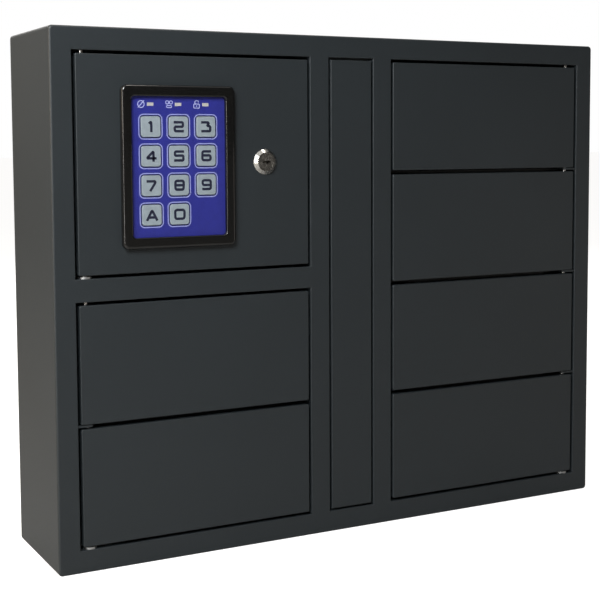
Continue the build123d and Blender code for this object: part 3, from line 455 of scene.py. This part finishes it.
# Strokes in millimetres about the glyph's middle: (points, corner radius, closed).
STEM = 1.9                  # width of a digit's stroke
HALF = 3.3                  # from a digit's middle to the middle of its outer strokes
INNER = HALF - STEM / 2     # where a stroke ends against an upright one
GLYPHS = {
    "1": [([(-1.5, 2.2), (0.3, 4.0), (0.3, -4.0)], 0.5, False)],
    "2": [([(-4.0, HALF), (HALF, HALF), (HALF, 0), (-HALF, 0), (-HALF, -HALF), (4.0, -HALF)], 1.1, False)],
    "3": [([(-4.0, HALF), (3.2, HALF), (0.2, 0.5), (HALF, 0.5), (HALF, -HALF), (-4.0, -HALF)], 0.9, False)],
    "4": [([(1.7, -4.0), (1.7, 3.6), (-3.6, -1.5), (4.1, -1.5)], 0.4, False)],
    "5": [([(4.0, HALF), (-HALF, HALF), (-HALF, 0.3), (HALF, 0.3),
           (HALF, -HALF), (-4.0, -HALF)], 0.9, False)],
    "6": [([(3.8, HALF), (-HALF, HALF), (-HALF, -HALF), (HALF, -HALF),
           (HALF, 0.3), (-INNER, 0.3)], 1.4, False)],
    "7": [([(-4.0, HALF), (3.5, HALF), (-1.2, -4.0)], 0.8, False)],
    "8": [([(-HALF, HALF), (HALF, HALF), (HALF, -HALF), (-HALF, -HALF)], 1.5, True),
          ([(-INNER, 0), (INNER, 0)], 0.5, False)],
    "9": [([(-3.8, -HALF), (HALF, -HALF), (HALF, HALF), (-HALF, HALF),
           (-HALF, -0.3), (INNER, -0.3)], 1.4, False)],
    "0": [([(-3.7, HALF), (3.7, HALF), (3.7, -HALF), (-3.7, -HALF)], 1.6, True)],
    "a": [([(-4.1, -4.1), (0, 3.6), (4.1, -4.1)], 0.5, False),
          ([(-2.1, -1.7), (2.1, -1.7)], 0.5, False)],
}
ICON_STEM = 0.6             # width of a sign's stroke
ICONS = [
    [([(-2.5, 2.5), (2.5, 2.5), (2.5, -2.5), (-2.5, -2.5)], 2.5, True),
     ([(-2.3, -2.5), (2.5, 2.7)], 0.3, False)],
    [([(-2.7, 2.6), (-0.3, 2.6), (-0.3, 0.2), (-2.7, 0.2)], 1.1, True),
     ([(0.3, 2.6), (2.7, 2.6), (2.7, 0.2), (0.3, 0.2)], 1.1, True),
     ([(-2.0, -0.9), (2.0, -0.9), (2.0, -2.4), (-2.0, -2.4)], 0.7, True)],
    [([(-2.3, 0.4), (2.3, 0.4), (2.3, -2.6), (-2.3, -2.6)], 0.4, True),
     ([(-1.4, 0.7), (-1.4, 2.9), (1.4, 2.9), (1.4, 1.6)], 1.2, False),
     ([(0, -0.6), (0, -1.7)], 0.3, False)],
]


INK_PROUD = 0.03 * MM       # how far print stands off the face it is on
INK_STEP = 0.01 * MM        # between one stroke of a glyph and the next, so that they don't share a face
INK_SUNK = 0.02 * MM        # how far print reaches into the face


def glyph(name, strokes, width, centre, face, material, body):
    """A printed sign made of strokes, a few hundredths of a millimetre thick."""
    mesh = bmesh.new()
    for layer, (points, radius, closed) in enumerate(strokes):
        line = [point * MM for point in rounded(points, radius, closed)]
        ribbon(mesh, line, width * MM, closed, centre, face, INK_PROUD + INK_STEP * layer, INK_SUNK)
    return finished(mesh, name, material, body)


# Print round and on the keys, and a painted shadow line round each key, in millimetres.
OUTLINE_STEP = 1.42         # from the key's edge to the middle of the pale line round it
OUTLINE_WIDTH = 0.8
SHADOW_LINE_STEP = 0.68          # the same for the dark line inside that, a painted shadow round the key's edge
SHADOW_LINE_WIDTH = 0.6
KEY_CORNER = 2.2            # corner radius of a key
KEY_FLANGE = 1.2            # how far a key stands out on each side behind the panel
SIGN_STEP = 7.2             # from a lamp's column to the sign on its left


def keypad_print():
    """Outlines round the keys, digits on them, signs beside the lamps, and a dark ring of painted shadow round
    each key.
    """
    ink = printed_film("digit_ink", (0.009, 0.011, 0.028), 0.4)
    line = printed_film("outline_ink", (0.23, 0.25, 0.50), 0.34)
    # dark navy for a ring of painted shadow where each key meets the panel
    border = printed_film("border_ink", (0.013, 0.014, 0.105), 0.34)
    pale = printed_film("icon_ink", (0.34, 0.36, 0.60), 0.34)
    panel_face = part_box("keypad_panel")[0].y
    for key in GLYPHS:
        low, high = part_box(f"key_{key}")
        centre = ((low.x + high.x) / 2, (low.z + high.z) / 2)
        glyph(f"digit_{key}", GLYPHS[key], STEM, centre, low.y, ink, f"key_{key}")
        half = (high.x - low.x) / 2 / MM - KEY_FLANGE
        # the pale outline is print; the dark ring inside it is painted shadow at the key's edge
        for ring, ink_and_shadow_color, step, width in (("outline", line, OUTLINE_STEP, OUTLINE_WIDTH),
                                             ("border", border, SHADOW_LINE_STEP, SHADOW_LINE_WIDTH)):
            edge = half + step
            square = [([(-edge, edge), (edge, edge), (edge, -edge), (-edge, -edge)], KEY_CORNER + step, True)]
            glyph(f"{ring}_{key}", square, width, centre, panel_face, ink_and_shadow_color, "control_door")
    lamp_low, lamp_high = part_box("keypad_lamps")
    lamp_z = (lamp_low.z + lamp_high.z) / 2
    for key, strokes in zip("123", ICONS):
        low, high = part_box(f"key_{key}")
        centre = ((low.x + high.x) / 2 - SIGN_STEP * MM, lamp_z)
        glyph(f"sign_{key}", strokes, ICON_STEM, centre, panel_face, pale, "control_door")


# ---------------------------------------------------------------- studio
FLOOR_SIZE = 60
FLOOR_GLOW = 0.85      # to the camera alone, so that the floor looks as white as the backdrop
SWEEP_WAY = Vector((-0.62, 0.72, 0.3)).normalized()    # towards the brightest part of the room
SWEEP_SPAN = (-0.5, 0.8)    # how far towards it the room starts to brighten, and where it is brightest
ROOM_DIM = 0.035
ROOM_BRIGHT = 0.44
ROOM_TINT = (1.0, 0.93, 0.84)


def floor():
    """A pale plane that looks white to the camera."""
    bpy.ops.mesh.primitive_plane_add(size=FLOOR_SIZE)
    plane = bpy.context.object
    plane.name = "studio_floor"
    shader = Shader("floor_white", 0.7)
    shader.color(shader.blend(shader.noise(0.6, 2), (0.35, 0.35, 0.35), (0.37, 0.37, 0.37)))
    shader.bsdf.inputs["Emission Color"].default_value = (1, 1, 1, 1)
    rays = shader.add("ShaderNodeLightPath")
    shader.feed(shader.bsdf.inputs["Emission Strength"],
                shader.math("MULTIPLY", rays.outputs["Is Camera Ray"], FLOOR_GLOW))
    plane.data.materials.append(shader.material)


def studio_world():
    """A bright sweep behind and to the left of the object, a dim room in front; white to the camera."""
    world = bpy.data.worlds.new("studio")
    world.use_nodes = True
    bpy.context.scene.world = world
    tree = world.node_tree
    background = tree.nodes["Background"]
    place = tree.nodes.new("ShaderNodeTexCoord")
    along = tree.nodes.new("ShaderNodeVectorMath")
    along.operation = "DOT_PRODUCT"
    along.inputs[1].default_value = SWEEP_WAY
    share = tree.nodes.new("ShaderNodeMapRange")
    rays = tree.nodes.new("ShaderNodeLightPath")
    mix = tree.nodes.new("ShaderNodeMix")
    tree.links.new(place.outputs["Generated"], along.inputs[0])
    tree.links.new(along.outputs["Value"], share.inputs["Value"])
    share.interpolation_type = "SMOOTHSTEP"
    sockets = ("From Min", "From Max", "To Min", "To Max")
    for socket, value in zip(sockets, (*SWEEP_SPAN, ROOM_DIM, ROOM_BRIGHT)):
        share.inputs[socket].default_value = value
    tree.links.new(rays.outputs["Is Camera Ray"], mix.inputs["Factor"])
    tree.links.new(share.outputs["Result"], mix.inputs[2])
    mix.inputs[3].default_value = 1.0
    tree.links.new(mix.outputs[0], background.inputs["Strength"])
    tint = tree.nodes.new("ShaderNodeMix")
    tint.data_type = "RGBA"
    tint.inputs[6].default_value = (*ROOM_TINT, 1)
    tint.inputs[7].default_value = (1, 1, 1, 1)
    tree.links.new(rays.outputs["Is Camera Ray"], tint.inputs["Factor"])
    tree.links.new(tint.outputs[2], background.inputs["Color"])


# Soft boxes: place, the point it faces and size in metres, power in watts, colour.
LIGHTS = {
    "key_light": ((-0.66, -0.66, 0.80), (-0.27, 0, 0.34), (0.4, 0.4), 14.0, (0.96, 0.99, 1.0)),
    "overhead": ((0, -0.2, 2.4), (0, -0.2, 0), (2.4, 2.4), 10, (1, 1, 1)),
    "left_side": ((-2.0, 0.2, 1.1), (0, 0, 0.3), (1.0, 1.6), 33, (1.0, 0.81, 0.59)),
    "left_strip": ((-1.25, -0.62, 0.36), (-0.2, 0, 0.33), (0.07, 0.5), 3.0, (1.0, 0.97, 0.93)),
    "top_strip": ((0.25, -0.1, 1.9), (-0.1, 0, 0.3), (0.5, 0.25), 4.5, (1.0, 0.93, 0.84)),
    "back_fill": ((0.5, 2.2, 0.9), (0, 0, 0.2), (1.6, 1.2), 18, (1.0, 0.98, 0.95)),
    "right_fill": ((2.2, 0.5, 0.8), (0.2, 0, 0.2), (1.0, 1.0), 9, (1.0, 0.98, 0.95)),
    "right_low": ((1.3, -1.2, 0.15), (0.25, 0, 0.05), (0.5, 0.3), 0.7, (1.0, 0.9, 0.82)),
}


def studio_lights():
    """The soft boxes round the object."""
    for name, (place, target, size, power, color) in LIGHTS.items():
        light = bpy.data.lights.new(name, "AREA")
        light.shape = "RECTANGLE"
        light.size, light.size_y = size
        light.energy = power
        light.color = color
        lamp = bpy.data.objects.new(name, light)
        lamp.location = place
        lamp.rotation_euler = (Vector(target) - Vector(place)).to_track_quat("-Z", "Y").to_euler()
        bpy.context.scene.collection.objects.link(lamp)


# The photograph's view: where the camera stands in metres, and how it is turned in radians.
CAMERA_PLACE = (-0.5076, -0.925, 0.3152)
YAW = 0.487
PITCH = -0.078
ROLL = -0.005
LENS = 75.3            # focal length, in millimetres
SENSOR = 36            # its width, in millimetres
SHIFT_X = -0.0043
SHIFT_Y = -0.0973


def photo_camera():
    """A camera with the photograph's place, direction and framing."""
    data = bpy.data.cameras.new("camera")
    camera = bpy.data.objects.new("camera", data)
    bpy.context.scene.collection.objects.link(camera)
    ahead = Vector((math.sin(YAW) * math.cos(PITCH), math.cos(YAW) * math.cos(PITCH), math.sin(PITCH)))
    level = Vector((math.cos(YAW), -math.sin(YAW), 0))
    up = level.cross(ahead)
    right = level * math.cos(ROLL) + up * math.sin(ROLL)
    top = up * math.cos(ROLL) - level * math.sin(ROLL)
    turn = Matrix((right, top, -ahead)).transposed().to_4x4()
    camera.matrix_world = Matrix.Translation(CAMERA_PLACE) @ turn
    data.sensor_width = SENSOR
    data.lens = LENS
    data.shift_x = SHIFT_X
    data.shift_y = SHIFT_Y
    data.clip_start = 0.05
    bpy.context.scene.camera = camera


photo_camera()
paint_cad_nodes()
keypad_print()
floor()
studio_world()
studio_lights()
bpy.context.scene.view_settings.view_transform = "Standard"
